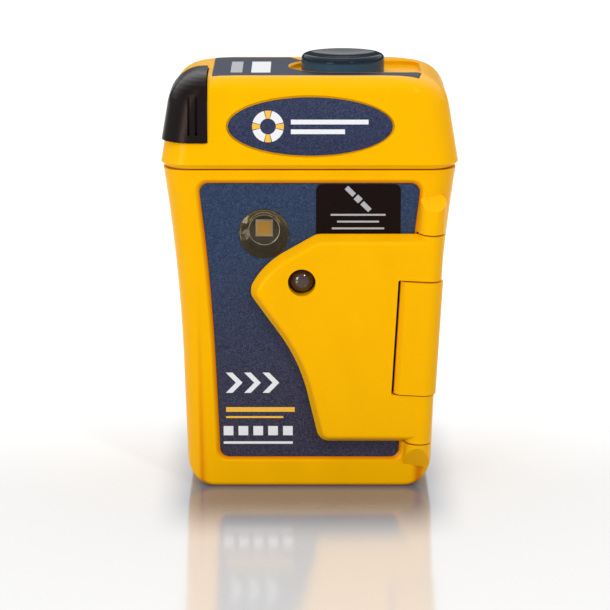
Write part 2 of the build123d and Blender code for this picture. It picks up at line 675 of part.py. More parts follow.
def make_cradle():
    """The cradle that holds the cells: a floor, two posts and a bar across the top."""
    floor = box((-17.9, -2.4, CELL_LOW_Z - 1.2), (17.9, 10.4, CELL_LOW_Z))
    feet = [box((x - 2.5, -1.0, CASE_WALL), (x + 2.5, REAR_Y - CASE_WALL, CELL_LOW_Z)) for x in (-12, 12)]
    posts = [box((x, 1.0, CELL_LOW_Z), (x + 0.8, 10.0, 42.2)) for x in (-18.1, 17.3)]
    bar = box((-18.1, 1.0, 41.0), (18.1, 10.0, 42.2))
    body = floor + bar
    for piece in feet + posts:
        body += piece
    for x, z in screw_places()[2:]:
        body -= screw(x, z, 0.1)
    return body


def make_foam_pad():
    """The foam pad between the cells' strip and the cradle's bar."""
    low = CELL_LOW_Z + CELL_LENGTH + 1.0
    return box((-13, 1.2, low), (13, 9.8, 41.0))


# ---- in the head ----

def make_reel_base():
    """The plate under the reel, with the bearing for its pivot."""
    plate = Pos(0, 1.75, 58.7) * extrude(RectangleRounded(41.6, 23.6, 2.5), amount=1.0)
    bearing = ring(4.0, 1.96, 59.7, 61.0)
    return plate + bearing - ring(1.96, 0, 58, 62)


def make_reel_drum():
    """The antenna reel: a drum between two flanges."""
    drum = ring(DRUM_R, SHAFT_R, TAPE_LOW_Z - 0.3, TAPE_LOW_Z + TAPE_WIDTH + 0.3)
    low = ring(FLANGE_R, SHAFT_R, TAPE_LOW_Z - 0.9, TAPE_LOW_Z - 0.3)
    high = ring(FLANGE_R, SHAFT_R, TAPE_LOW_Z + TAPE_WIDTH + 0.3, TAPE_LOW_Z + TAPE_WIDTH + 0.9)
    return drum + low + high


def make_contact_spring():
    """The bent strip that feeds the antenna's signal to the reel's underside."""
    strip = box((-9, 2, 60.6), (0.6, 5, 60.9)) + box((-9, 2, 59.7), (-8.7, 5, 60.9))
    return strip


def make_tape_guide():
    """The wiper seal in the pocket's wall, where the tape passes through."""
    frame = box((TAB_X + 1.7, tape_y() - 0.9, TAPE_LOW_Z - 0.4),
                (TAB_X + 2.9, tape_y() + 1.6, TAPE_LOW_Z + TAPE_WIDTH + 0.4))
    return frame - box((-30, tape_y() - 0.3, TAPE_LOW_Z - 0.15),
                       (0, tape_y() + 0.3, TAPE_LOW_Z + TAPE_WIDTH + 0.15))


os.makedirs("parts", exist_ok=True)
save("case_tub", make_case_tub())
save("head_cover", make_head_cover())
save("head_seal", make_head_seal())
save("front_label", make_front_label())
save("sky_window", make_sky_window())
save("head_badge", make_badge())
save("top_label", top_sheet())
save("rear_label", rear_sheet(SHEET))
save("strobe_lens", make_strobe_lens())
save("strobe_reflector", make_strobe_reflector())
save("strobe_led", make_strobe_led())
save("status_lens", make_status_lens())
save("status_led", on_face(Rectangle(1.6, 1.6), STATUS, BOARD_FACE, BOARD_FACE + 0.8))
save("main_board", make_main_board())
save("keypad", make_keypad())
save("dome_switches", make_dome_switches())
save("satellite_antenna", on_face(Rectangle(12, 10), (8.5, 45.8), BOARD_FACE, BOARD_FACE + 4))
save("shield_cans", make_shield_cans())
save("cell_left", make_cell(-1))
save("cell_right", make_cell(1))
save("cell_tabs", make_cell_tabs())
save("cell_cradle", make_cradle())
save("foam_pad", make_foam_pad())
save("case_screws", Compound(children=[screw(x, z) for x, z in screw_places()]))
save("lanyard_pin", Pos(*LANYARD_PIN, sum(NOTCH_Z) / 2) * Cylinder(LANYARD_PIN_R, 9.4))
save("hinge_pin", rod(HINGE, PIN_R, -PIN_ENDS[0], HINGE_LENGTH + PIN_ENDS[1]))
save("hinge_block", make_hinge_block())
save("hinge_spring", make_hinge_spring())
save("flap", make_flap())
save("on_button", make_button(oblong(ON_SIZE), oblong(ON_SIZE, 0.8), ON_BUTTON))
save("test_button", make_button(Circle(TEST_R), Circle(TEST_R + 0.8), TEST_BUTTON))
save("reel_base", make_reel_base())
save("reel_drum", make_reel_drum())
save("tape_coil", ring(COIL_R, DRUM_R, TAPE_LOW_Z, TAPE_LOW_Z + TAPE_WIDTH))
save("winder_knob", make_winder_knob())
save("shaft_seal", ring(SHAFT_R + 1.6, SHAFT_R + 0.1, 69.4, 69.9))
save("contact_spring", make_contact_spring())
save("tape_guide", make_tape_guide())
save("antenna_tab", make_antenna_tab())
save("antenna_tape", make_antenna_tape())
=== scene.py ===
import json
import math

import bmesh
import bpy
from mathutils import Euler, Matrix, Vector


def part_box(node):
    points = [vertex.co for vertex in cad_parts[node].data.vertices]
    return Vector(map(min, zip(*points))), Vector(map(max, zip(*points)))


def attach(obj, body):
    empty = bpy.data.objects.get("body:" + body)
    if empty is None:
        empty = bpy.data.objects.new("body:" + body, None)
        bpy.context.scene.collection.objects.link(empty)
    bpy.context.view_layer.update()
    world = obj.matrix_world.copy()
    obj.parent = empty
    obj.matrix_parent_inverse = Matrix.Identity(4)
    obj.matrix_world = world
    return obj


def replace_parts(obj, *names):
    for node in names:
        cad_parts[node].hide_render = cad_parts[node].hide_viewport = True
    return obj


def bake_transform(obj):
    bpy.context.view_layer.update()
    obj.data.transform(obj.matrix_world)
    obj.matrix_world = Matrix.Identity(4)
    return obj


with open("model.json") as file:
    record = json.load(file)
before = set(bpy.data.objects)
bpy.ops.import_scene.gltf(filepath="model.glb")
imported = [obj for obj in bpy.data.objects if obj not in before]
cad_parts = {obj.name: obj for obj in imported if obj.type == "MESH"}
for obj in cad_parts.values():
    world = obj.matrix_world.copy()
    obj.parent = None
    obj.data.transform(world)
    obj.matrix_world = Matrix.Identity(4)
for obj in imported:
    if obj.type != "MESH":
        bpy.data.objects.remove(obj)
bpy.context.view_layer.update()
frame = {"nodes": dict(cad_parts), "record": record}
mm = 0.001

# ---- camera ----
# A long lens half a metre away, a little above the head, looking down thirteen degrees.
camera = bpy.data.objects.new("camera", bpy.data.cameras.new("camera"))
camera.location = (-0.80 * mm, -500 * mm, 145 * mm)
camera.rotation_euler = Euler((math.radians(90 - 12.94), 0, 0))
camera.data.lens = 170.5
camera.data.sensor_width = 36
camera.data.clip_start = 0.01
camera.data.clip_end = 20
bpy.context.collection.objects.link(camera)
bpy.context.scene.camera = camera
bpy.context.scene.view_settings.view_transform = "Standard"


# ---- case and head ----
# Two shells moulded in yellow polycarbonate with a fine spark-eroded skin. The tub's front
# leans out three degrees, and painted shade turns the sunk frame round the label deeper orange.

class Value:
    """A shader value; arithmetic on it adds Math nodes to its material."""

    def __init__(self, finish, socket):
        self.finish = finish
        self.socket = socket

    def _maths(self, operation, first, second):
        return self.finish.node("ShaderNodeMath", {"operation": operation}, {0: first, 1: second})

    def __add__(self, other):
        return self._maths("ADD", self, other)

    def __radd__(self, other):
        return self._maths("ADD", other, self)

    def __mul__(self, other):
        return self._maths("MULTIPLY", self, other)

    def __rmul__(self, other):
        return self._maths("MULTIPLY", other, self)

    def __abs__(self):
        return self._maths("ABSOLUTE", self, 0.0)


class Finish:
    """A material under construction, with a Principled shader whose inputs are set by name."""

    def __init__(self, name):
        self.material = bpy.data.materials.new(name)
        self.material.use_nodes = True
        self.tree = self.material.node_tree
        self.shader = self.tree.nodes["Principled BSDF"]
        self.place = self.node("ShaderNodeTexCoord", out="Object")

    def plug(self, socket, value):
        """Link a Value to a socket, or set the socket to a plain number or colour."""
        if isinstance(value, Value):
            self.tree.links.new(value.socket, socket)
        else:
            socket.default_value = value

    def node(self, kind, settings=None, inputs=None, out=0):
        """Add a node: settings first, then its inputs by name or number; gives one output."""
        made = self.tree.nodes.new(kind)
        for key, value in (settings or {}).items():
            setattr(made, key, value)
        for key, value in (inputs or {}).items():
            self.plug(made.inputs[key], value)
        return Value(self, made.outputs[out])

    def noise(self, size, detail=2.0, where=None):
        """Soft noise from 0 to 1 whose lumps are about size metres across."""
        inputs = {"Vector": where or self.place, "Scale": 1 / size, "Detail": detail}
        return self.node("ShaderNodeTexNoise", None, inputs)

    def stretched(self, size, scale, detail=2.0):
        """Noise drawn out along an axis, for a brushed or flowed grain."""
        where = self.node("ShaderNodeMapping", None, {"Vector": self.place, "Scale": scale})
        return self.noise(size, detail, where)

    def along(self, direction, origin=(0, 0, 0)):
        """Distance in metres of a point from origin, measured along a direction."""
        settings = {"operation": "SUBTRACT"}
        start = self.node("ShaderNodeVectorMath", settings, {0: self.place, 1: tuple(origin)})
        settings = {"operation": "DOT_PRODUCT"}
        return self.node("ShaderNodeVectorMath", settings, {0: start, 1: tuple(direction)}, out="Value")

    def band(self, value, low, high, to_low=0.0, to_high=1.0):
        """Value from low to high, turned smoothly into to_low .. to_high and held outside it."""
        inputs = {"Value": value, "From Min": low, "From Max": high, "To Min": to_low, "To Max": to_high}
        return self.node("ShaderNodeMapRange", {"interpolation_type": "SMOOTHSTEP"}, inputs)

    def mix(self, factor, first, second):
        """A colour between two others."""
        first = first if isinstance(first, Value) else (*first, 1)
        second = second if isinstance(second, Value) else (*second, 1)
        return self.node("ShaderNodeMix", {"data_type": "RGBA"}, {0: factor, 6: first, 7: second}, out=2)

    def bump(self, height, depth):
        """A Normal whose relief is height times depth metres."""
        return self.node("ShaderNodeBump", None, {"Height": height, "Distance": depth})

    def surface(self, **inputs):
        """Set the shader's inputs; underscores in names stand for spaces."""
        for key, value in inputs.items():
            self.plug(self.shader.inputs[key.replace("_", " ")], value)
        return self.material


def dress(material, *nodes):
    """Give CAD nodes' objects one material."""
    for node in nodes:
        mesh = frame["nodes"][node].data
        mesh.materials.clear()
        mesh.materials.append(material)


lean = math.radians(3)
face_out = Vector((0, -math.cos(lean), -math.sin(lean)))
face_up = Vector((0, -math.sin(lean), math.cos(lean)))
face_foot = Vector((0, -11 * mm, 0))


def moulded_yellow():
    """Yellow polycarbonate: a fine grain, faint flow clouds, scuffs, and painted shade in the sunk frame."""
    finish = Finish("moulded_yellow")
    clouds = finish.stretched(7 * mm, (1, 1, 0.4), 3)
    grain = finish.noise(0.14 * mm, 2)
    scuffs = finish.band(finish.stretched(1.1 * mm, (1, 1, 5), 5), 0.62, 0.74)
    tone = finish.mix(clouds, (0.84, 0.400, 0.0), (0.93, 0.460, 0.0))
    tone = finish.mix(0.10 * scuffs, tone, (0.97, 0.60, 0.04))
    proud = finish.along(face_out, face_foot)
    # Painted shade: the sunk frame round the label is coloured deeper orange, where shade falls in the
    # recess.
    painted_recess_shade = finish.band(proud, 0.05 * mm, 0.46 * mm, 1.0, 0.0) * finish.band(proud, -1.2 * mm, -0.9 * mm)
    painted_recess_shade = painted_recess_shade * finish.band(finish.along((0, 0, 1)), 56.0 * mm, 57.0 * mm, 1.0, 0.0)
    painted_recess_shade = painted_recess_shade * finish.band(abs(finish.along((1, 0, 0), (0.3 * mm, 0, 0))), 19.0 * mm, 20.0 * mm, 1.0, 0.0)
    tone = finish.mix(0.9 * painted_recess_shade, tone, (0.66, 0.17, 0.0))
    rough = 0.34 + 0.08 * grain + 0.10 * scuffs
    return finish.surface(Base_Color=tone, Roughness=rough, IOR=1.30,
                          Specular_Tint=(1.0, 0.60, 0.02, 1), Coat_Weight=0.05, Coat_Roughness=0.16,
                          Normal=finish.bump(grain, 0.004 * mm))


yellow = moulded_yellow()
dress(yellow, "case_tub", "head_cover")


def plain(name, low, high, rough, grain_size=0.3 * mm, relief=0.006 * mm, **more):
    """A finish between two close colours, with a grain in its colour, gloss and relief."""
    finish = Finish(name)
    grain = finish.noise(grain_size, 3)
    return finish.surface(Base_Color=finish.mix(grain, low, high), Roughness=rough + 0.12 * grain,
                          Normal=finish.bump(grain, relief), **more)


# ---- seals ----
# A flat orange-brown silicone seal clamped between tub and head, set back in the joint line,
# and the black rubber lip seals round the knob's shaft and the antenna tape.
silicone = plain("silicone", (0.42, 0.120, 0.004), (0.52, 0.160, 0.008), 0.55, relief=0.01 * mm)
dress(silicone, "head_seal")
rubber = plain("black_rubber", (0.010, 0.010, 0.011), (0.020, 0.020, 0.021), 0.6, relief=0.012 * mm)
dress(rubber, "shaft_seal", "tape_guide")


# ---- labels ----
# Printed polyester films let into the mouldings, with a hard clear coat over a speckled navy
# print; the front one is painted paler towards its top and darker low down, as light falls on it. A gloss
# black film lies over the receiver.
def speckled_navy(name, top_tone, low_tone, fade_low, fade_high):
    """Navy print with a fine pale speckle, both painted paler with height as light falls on them."""
    finish = Finish(name)
    speck = finish.noise(0.17 * mm, 1)
    patch = finish.noise(0.45 * mm, 2)
    mask = finish.band(0.75 * speck + 0.25 * patch, 0.44, 0.60)
    # Painted light: the navy and its speckle are lighter higher up and darker low down.
    painted_light_falloff = finish.band(finish.along((0, 0, 1)), fade_low, fade_high)
    ground = finish.mix(painted_light_falloff, low_tone, top_tone)
    pale = finish.mix(painted_light_falloff, [2.4 * v for v in low_tone], [2.3 * v for v in top_tone])
    tone = finish.mix(0.80 * mask, ground, pale)
    return finish.surface(Base_Color=tone, Roughness=0.30 + 0.12 * speck, IOR=1.20,
                          Specular_Tint=(0.30, 0.30, 0.34, 1), Normal=finish.bump(speck, 0.004 * mm))


front_print = speckled_navy("front_print", (0.022, 0.035, 0.069), (0.030, 0.027, 0.044), 6 * mm, 52 * mm)
badge_print = speckled_navy("badge_print", (0.026, 0.032, 0.062), (0.022, 0.026, 0.054), 60 * mm, 69 * mm)
dress(front_print, "front_label")
dress(badge_print, "head_badge")
dress(speckled_navy("top_print", (0.012, 0.018, 0.040), (0.012, 0.018, 0.040), 71 * mm, 73 * mm), "top_label")
gloss_black = plain("gloss_black_film", (0.006, 0.003, 0.003), (0.012, 0.007, 0.007), 0.28,
                    relief=0.002 * mm, IOR=1.25, Specular_Tint=(0.30, 0.20, 0.15, 1))
dress(gloss_black, "sky_window")


def silver_film():
    """Silver-grey film with a fine brushed grain."""
    finish = Finish("silver_film")
    streak = finish.stretched(0.9 * mm, (1, 1, 25), 3)
    tone = finish.mix(streak, (0.42, 0.43, 0.44), (0.60, 0.61, 0.62))
    return finish.surface(Base_Color=tone, Roughness=0.34 + 0.12 * streak, Metallic=0.6)


dress(silver_film(), "rear_label")


# ---- printed marks ----
# Screen-printed marks on the labels: plain chevrons, bars, squares and simple signs that say
# nothing, in thin ink that stands a hair above each film.
INK = 0.03 * mm
white_ink = plain("white_ink", (0.70, 0.70, 0.72), (0.80, 0.80, 0.82), 0.45)
grey_ink = plain("grey_ink", (0.34, 0.35, 0.37), (0.42, 0.43, 0.45), 0.45)
amber_ink = plain("amber_ink", (0.80, 0.42, 0.02), (0.88, 0.50, 0.04), 0.45)
dark_ink = plain("dark_ink", (0.020, 0.022, 0.028), (0.035, 0.037, 0.042), 0.45)


def sheet_place(origin, across, up):
    """A matrix that lays flat work on a surface: x across, y up, z out of it."""
    across = Vector(across).normalized()
    up = Vector(up).normalized()
    turned = Matrix((across, up, across.cross(up))).transposed().to_4x4()
    return Matrix.Translation(origin) @ turned


def keep(name, mesh, body="housing"):
    """Put a finished mesh in the scene as a piece that rides on a body."""
    piece = bpy.data.objects.new(name, mesh)
    bpy.context.collection.objects.link(piece)
    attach(piece, body)
    return piece


def ink_shapes(name, outlines, place, ink):
    """Thin prisms from outlines in millimetres, laid on a label."""
    work = bmesh.new()
    for outline in outlines:
        face = work.faces.new([work.verts.new((x * mm, y * mm, 0)) for x, y in outline])
        grown = bmesh.ops.extrude_face_region(work, geom=[face])["geom"]
        raised = [v for v in grown if isinstance(v, bmesh.types.BMVert)]
        bmesh.ops.translate(work, verts=raised, vec=(0, 0, INK))
    bmesh.ops.recalc_face_normals(work, faces=work.faces)
    mesh = bpy.data.meshes.new(name)
    work.to_mesh(mesh)
    work.free()
    mesh.transform(place)
    mesh.materials.append(ink)
    return keep(name, mesh)


def bar(x, y, wide, high, tilt=0.0):
    """A rectangle's outline about its middle, turned by tilt degrees."""
    c = math.cos(math.radians(tilt))
    s = math.sin(math.radians(tilt))
    corners = [(-wide / 2, -high / 2), (wide / 2, -high / 2), (wide / 2, high / 2), (-wide / 2, high / 2)]
    return [(x + c * u - s * v, y + s * u + c * v) for u, v in corners]


def chevron(x, y, wide, high, stroke):
    """An arrowhead's outline that points right, from its left edge."""
    return [(x, y - high / 2), (x + stroke, y - high / 2), (x + wide, y), (x + stroke, y + high / 2),
            (x, y + high / 2), (x + wide - stroke, y)]


def sector(x, y, inner, outer, start, turn, steps=12):
    """Part of a ring, from an angle in degrees through a turn."""
    angles = [math.radians(start + turn * k / steps) for k in range(steps + 1)]
    far = [(x + outer * math.cos(a), y + outer * math.sin(a)) for a in angles]
    near = [(x + inner * math.cos(a), y + inner * math.sin(a)) for a in reversed(angles)]
    return far + near


def block_rows(name, place, count, pitch, size, material, seed=0, vary=0.0):
    """Geometry Nodes: a grid of small blocks, with sizes varied by a seed, as one plain mesh."""
    tree = bpy.data.node_groups.new(name, "GeometryNodeTree")
    for label, kind in (("Across", "Int"), ("Up", "Int"), ("Wide", "Float"), ("High", "Float"),
                        ("Block", "Vector"), ("Vary", "Float"), ("Seed", "Int")):
        tree.interface.new_socket(label, in_out="INPUT", socket_type="NodeSocket" + kind)
    tree.interface.new_socket("Geometry", in_out="OUTPUT", socket_type="NodeSocketGeometry")
    add = tree.nodes.new
    link = tree.links.new
    given = add("NodeGroupInput").outputs
    grid = add("GeometryNodeMeshGrid")
    link(given["Wide"], grid.inputs["Size X"])
    link(given["High"], grid.inputs["Size Y"])
    link(given["Across"], grid.inputs["Vertices X"])
    link(given["Up"], grid.inputs["Vertices Y"])
    block = add("GeometryNodeMeshCube")
    link(given["Block"], block.inputs["Size"])
    chance = add("FunctionNodeRandomValue")
    link(given["Seed"], chance.inputs["Seed"])
    scale = add("ShaderNodeMath")
    scale.operation = "MULTIPLY_ADD"
    link(chance.outputs[1], scale.inputs[0])
    link(given["Vary"], scale.inputs[1])
    scale.inputs[2].default_value = 1.0
    spread = add("GeometryNodeInstanceOnPoints")
    link(grid.outputs["Mesh"], spread.inputs["Points"])
    link(block.outputs["Mesh"], spread.inputs["Instance"])
    link(scale.outputs[0], spread.inputs["Scale"])
    real = add("GeometryNodeRealizeInstances")
    link(spread.outputs["Instances"], real.inputs["Geometry"])
    paint = add("GeometryNodeSetMaterial")
    paint.inputs["Material"].default_value = material
    link(real.outputs["Geometry"], paint.inputs["Geometry"])
    link(paint.outputs["Geometry"], add("NodeGroupOutput").inputs["Geometry"])
    values = {"Across": count[0], "Up": count[1], "Wide": pitch[0] * (count[0] - 1) * mm,
              "High": pitch[1] * (count[1] - 1) * mm, "Block": [v * mm for v in size],
              "Vary": vary, "Seed": seed}
    return grown_mesh(name, tree, values, place)


def grown_mesh(name, tree, values, place):
    """The plain mesh that a Geometry Nodes tree makes from named values, put in its place."""
    holder = bpy.data.objects.new(name + "_seed", bpy.data.meshes.new(name + "_seed"))
    bpy.context.collection.objects.link(holder)
    modifier = holder.modifiers.new("rows", "NODES")
    modifier.node_group = tree
    for item in tree.interface.items_tree:
        if item.name in values:
            modifier[item.identifier] = values[item.name]
    bpy.context.view_layer.update()
    ready = holder.evaluated_get(bpy.context.evaluated_depsgraph_get())
    mesh = bpy.data.meshes.new_from_object(ready)
    holder.modifiers.clear()
    bpy.data.objects.remove(holder)
    mesh.name = name
    mesh.transform(place)
    return mesh


print_gap = 0.002 * mm
front_place = sheet_place(face_foot + face_out * print_gap, (1, 0, 0), face_up)
chevrons = [chevron(x, 19.0, 2.9, 3.7, 1.15) for x in (-14.6, -11.4, -8.2)]
ink_shapes("label_chevrons", chevrons, front_place, white_ink)
ink_shapes("label_bars", [bar(-8.6, 14.1, 12.0, 0.85), bar(-9.6, 12.7, 10.0, 0.35)], front_place, amber_ink)
squares_place = front_place @ Matrix.Translation((-9.0 * mm, 10.2 * mm, INK / 2))
squares = block_rows("label_squares", squares_place, (5, 1), (2.6, 1), (1.7, 1.7, 0.03), white_ink)
keep("label_squares", squares)
ink_shapes("label_rule", [bar(-9.0, 8.0, 12.1, 0.45)], front_place, white_ink)

film_thick = 0.08 * mm
panel_place = front_place @ Matrix.Translation((0, 0, film_thick))
signs = [bar(8.3, 52.0, 1.1, 1.1, 45), bar(6.95, 53.35, 1.9, 0.85, -45), bar(9.65, 50.65, 1.9, 0.85, -45)]
signs += [bar(8.3, y, wide, 0.32) for y, wide in ((49.2, 9.4), (48.0, 7.2), (46.8, 9.0))]
ink_shapes("panel_sign", signs, panel_place, grey_ink)

badge_tilt = math.radians(7.5)
badge_up = Vector((0, math.sin(badge_tilt), math.cos(badge_tilt)))
badge_y = -15.4 + (64.6 - 58.1) * math.tan(badge_tilt)
badge_place = sheet_place((0.1 * mm, (badge_y - 0.002) * mm, 64.6 * mm), (1, 0, 0), badge_up)
ring_x = -7.2
cork = [sector(ring_x, 0, 1.35, 2.7, 15 + 90 * k, 60) for k in range(4)]
bands = [sector(ring_x, 0, 1.35, 2.7, -12 + 90 * k, 24, 5) for k in range(4)]
ink_shapes("badge_ring", cork, badge_place, white_ink)
ink_shapes("badge_ties", bands, badge_place, amber_ink)
ink_shapes("badge_bars", [bar(3.3, 0.75, 13.2, 0.8), bar(1.3, -0.9, 9.2, 0.8)], badge_place, white_ink)

head_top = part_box("top_label")[1][2]
top_place = sheet_place((0, 0, head_top + print_gap), (1, 0, 0), (0, 1, 0))
ink_shapes("top_patch", [bar(-8.4, -1.0, 3.3, 13.0)], top_place, white_ink)
ink_shapes("top_patch_grey", [bar(-12.6, -1.0, 2.0, 13.0)], top_place, grey_ink)

rear_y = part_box("rear_label")[1][1]
rear_place = sheet_place((0, rear_y + print_gap, 31 * mm), (-1, 0, 0), (0, 0, 1))
rules_place = rear_place @ Matrix.Translation((0, -4.5 * mm, INK / 2))
keep("rear_rules", block_rows("rear_rules", rules_place, (1, 7), (1, 3.2), (26, 0.22, 0.03), dark_ink))
ink_shapes("rear_patches", [bar(-7.2, 11.6, 11.5, 5.5), bar(8.6, 11.6, 8.5, 5.5)], rear_place, dark_ink)


# ---- strobe and status lamp ----
# A clear moulded dome over a smoky metallised cone, with a square yellow chip on its board and
# a thin bright collar half sunk in that board. The status lamp is a smoked light pipe.
def clear_cover():
    """Clear polycarbonate, very slightly warm."""
    finish = Finish("clear_cover")
    haze = finish.noise(2 * mm, 3)
    return finish.surface(Base_Color=(0.84, 0.77, 0.66, 1), Roughness=0.02 + 0.02 * haze,
                          Transmission_Weight=1.0, IOR=1.45, Specular_Tint=(0.75, 0.62, 0.42, 1))


dress(clear_cover(), "strobe_lens")


def smoky_mirror():
    """Metallised plastic, bronze and smoky, gold towards its top."""
    finish = Finish("smoky_mirror")
    smoke = finish.noise(1.2 * mm, 3)
    height = finish.along(face_up, face_foot)
    gold = finish.band(height + 0.8 * mm * smoke, 46.4 * mm, 48.6 * mm)
    tone = finish.mix(gold, (0.035, 0.025, 0.013), (0.50, 0.33, 0.09))
    return finish.surface(Base_Color=tone, Metallic=1.0, Roughness=0.26 + 0.12 * smoke)


dress(smoky_mirror(), "strobe_reflector")


def lit_chip(name, x, height, half, chip_tone):
    """A light chip: grainy phosphor in a pale frame, on dark solder mask."""
    finish = Finish(name)
    grit = finish.noise(0.09 * mm, 2)
    across = abs(finish.along((1, 0, 0), (x * mm, 0, 0)))
    up = abs(finish.along(face_up, face_foot + face_up * height * mm))
    far = finish.node("ShaderNodeMath", {"operation": "MAXIMUM"}, {0: across, 1: up})
    frame_mask = finish.band(far, half * mm, (half + 0.05) * mm)
    board_mask = finish.band(far, (half + 0.3) * mm, (half + 0.34) * mm)
    phosphor = finish.mix(grit, [0.85 * v for v in chip_tone], chip_tone)
    tone = finish.mix(frame_mask, phosphor, (0.60, 0.57, 0.48))
    tone = finish.mix(board_mask, tone, (0.022, 0.018, 0.014))
    return finish.surface(Base_Color=tone, Roughness=0.45 + 0.2 * grit, Normal=finish.bump(grit, 0.01 * mm))


strobe_x = -7.85
dress(lit_chip("strobe_chip", strobe_x, 46.25, 1.15, (0.80, 0.46, 0.03)), "strobe_led")
dress(lit_chip("status_chip", -1.36, 37.8, 0.5, (0.75, 0.20, 0.05)), "status_led")


def turned_ring(name, place, radius, section, material, steps=64, sides=10):
    """A plain ring of round section, laid on a plane."""
    work = bmesh.new()
    loops = []
    for k in range(steps):
        turn = 2 * math.pi * k / steps
        loop = []
        for j in range(sides):
            roll = 2 * math.pi * j / sides
            far = radius + section * math.cos(roll)
            height = section * math.sin(roll)
            loop.append(work.verts.new((far * math.cos(turn), far * math.sin(turn), height)))
        loops.append(loop)
    for k in range(steps):
        for j in range(sides):
            here, after = loops[k], loops[(k + 1) % steps]
            work.faces.new((here[j], after[j], after[(j + 1) % sides], here[(j + 1) % sides]))
    bmesh.ops.recalc_face_normals(work, faces=work.faces)
    mesh = bpy.data.meshes.new(name)
    work.to_mesh(mesh)
    work.free()
    mesh.shade_smooth()
    mesh.transform(place)
    mesh.materials.append(material)
    return keep(name, mesh)


def steel(name, dark, light, rough):
    """Stainless steel or tinplate with a fine drawn grain."""
    finish = Finish(name)
    grain = finish.noise(0.12 * mm, 4)
    tone = finish.mix(grain, (dark, dark, dark), (light, light, 0.98 * light))
    return finish.surface(Base_Color=tone, Metallic=1.0, Roughness=rough + 0.15 * grain,
                          Normal=finish.bump(grain, 0.003 * mm))


bright_metal = steel("bright_metal", 0.62, 0.75, 0.15)
strobe_place = front_place @ Matrix.Translation((strobe_x * mm, 45.8 * mm, -2.9 * mm))
turned_ring("strobe_collar", strobe_place, 2.62 * mm, 0.09 * mm, bright_metal)
smoked = plain("smoked_plastic", (0.030, 0.012, 0.009), (0.060, 0.028, 0.020), 0.06, 0.9 * mm, 0.0005 * mm,
               Coat_Weight=0.5, Coat_Roughness=0.03)
dress(smoked, "status_lens")


# ---- flap, hinge block, pin and spring ----
# The flap and the fixed block are moulded like the case. The flap turns on a steel pin, and
# a wound steel spring inside the block, made here as one coil without its legs, shuts it.
dress(yellow, "flap", "hinge_block")
stainless = steel("stainless", 0.45, 0.60, 0.22)
dress(stainless, "hinge_pin", "lanyard_pin", "case_screws")

hinge = [j for j in frame["record"]["behaviour"]["joints"] if j["name"] == "flap_hinge"][0]
hinge_up = Vector(hinge["axis"]).normalized()
hinge_foot = Vector(hinge["pos_m"])


def spring_tree(material):
    """Geometry Nodes: a helix of round wire."""
    tree = bpy.data.node_groups.new("spring_coil", "GeometryNodeTree")
    for label in ("Turns", "Radius", "Length", "Wire"):
        tree.interface.new_socket(label, in_out="INPUT", socket_type="NodeSocketFloat")
    tree.interface.new_socket("Geometry", in_out="OUTPUT", socket_type="NodeSocketGeometry")
    add = tree.nodes.new
    link = tree.links.new
    given = add("NodeGroupInput").outputs
    helix = add("GeometryNodeCurveSpiral")
    helix.inputs["Resolution"].default_value = 28
    link(given["Turns"], helix.inputs["Rotations"])
    link(given["Radius"], helix.inputs["Start Radius"])
    link(given["Radius"], helix.inputs["End Radius"])
    link(given["Length"], helix.inputs["Height"])
    section = add("GeometryNodeCurvePrimitiveCircle")
    section.inputs["Resolution"].default_value = 10
    link(given["Wire"], section.inputs["Radius"])
    wire = add("GeometryNodeCurveToMesh")
    wire.inputs["Fill Caps"].default_value = True
    link(helix.outputs["Curve"], wire.inputs["Curve"])
    link(section.outputs["Curve"], wire.inputs["Profile Curve"])
    paint = add("GeometryNodeSetMaterial")
    paint.inputs["Material"].default_value = material
    link(wire.outputs["Mesh"], paint.inputs["Geometry"])
    link(paint.outputs["Geometry"], add("NodeGroupOutput").inputs["Geometry"])
    return tree


spring_turn = Vector((0, 0, 1)).rotation_difference(hinge_up).to_matrix().to_4x4()
spring_place = Matrix.Translation(hinge_foot + hinge_up * 14.5 * mm) @ spring_turn
winding = {"Turns": 12.0, "Radius": 1.3 * mm, "Length": 9.3 * mm, "Wire": 0.28 * mm}
spring_mesh = grown_mesh("spring_coil", spring_tree(stainless), winding, spring_place)
spring_mesh.shade_smooth()
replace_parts(keep("spring_coil", spring_mesh), "hinge_spring")


# ---- buttons ----
# Moulded caps under the flap: a red one that starts the beacon and a small black one for the
# self test. A rubber keypad and two steel snap domes lie behind them.
dress(plain("button_red", (0.42, 0.010, 0.008), (0.55, 0.016, 0.012), 0.34), "on_button")
dress(plain("button_black", (0.012, 0.012, 0.013), (0.022, 0.022, 0.024), 0.38), "test_button")
dress(plain("keypad_grey", (0.10, 0.10, 0.11), (0.16, 0.16, 0.17), 0.6, relief=0.012 * mm), "keypad")
dress(bright_metal, "dome_switches")


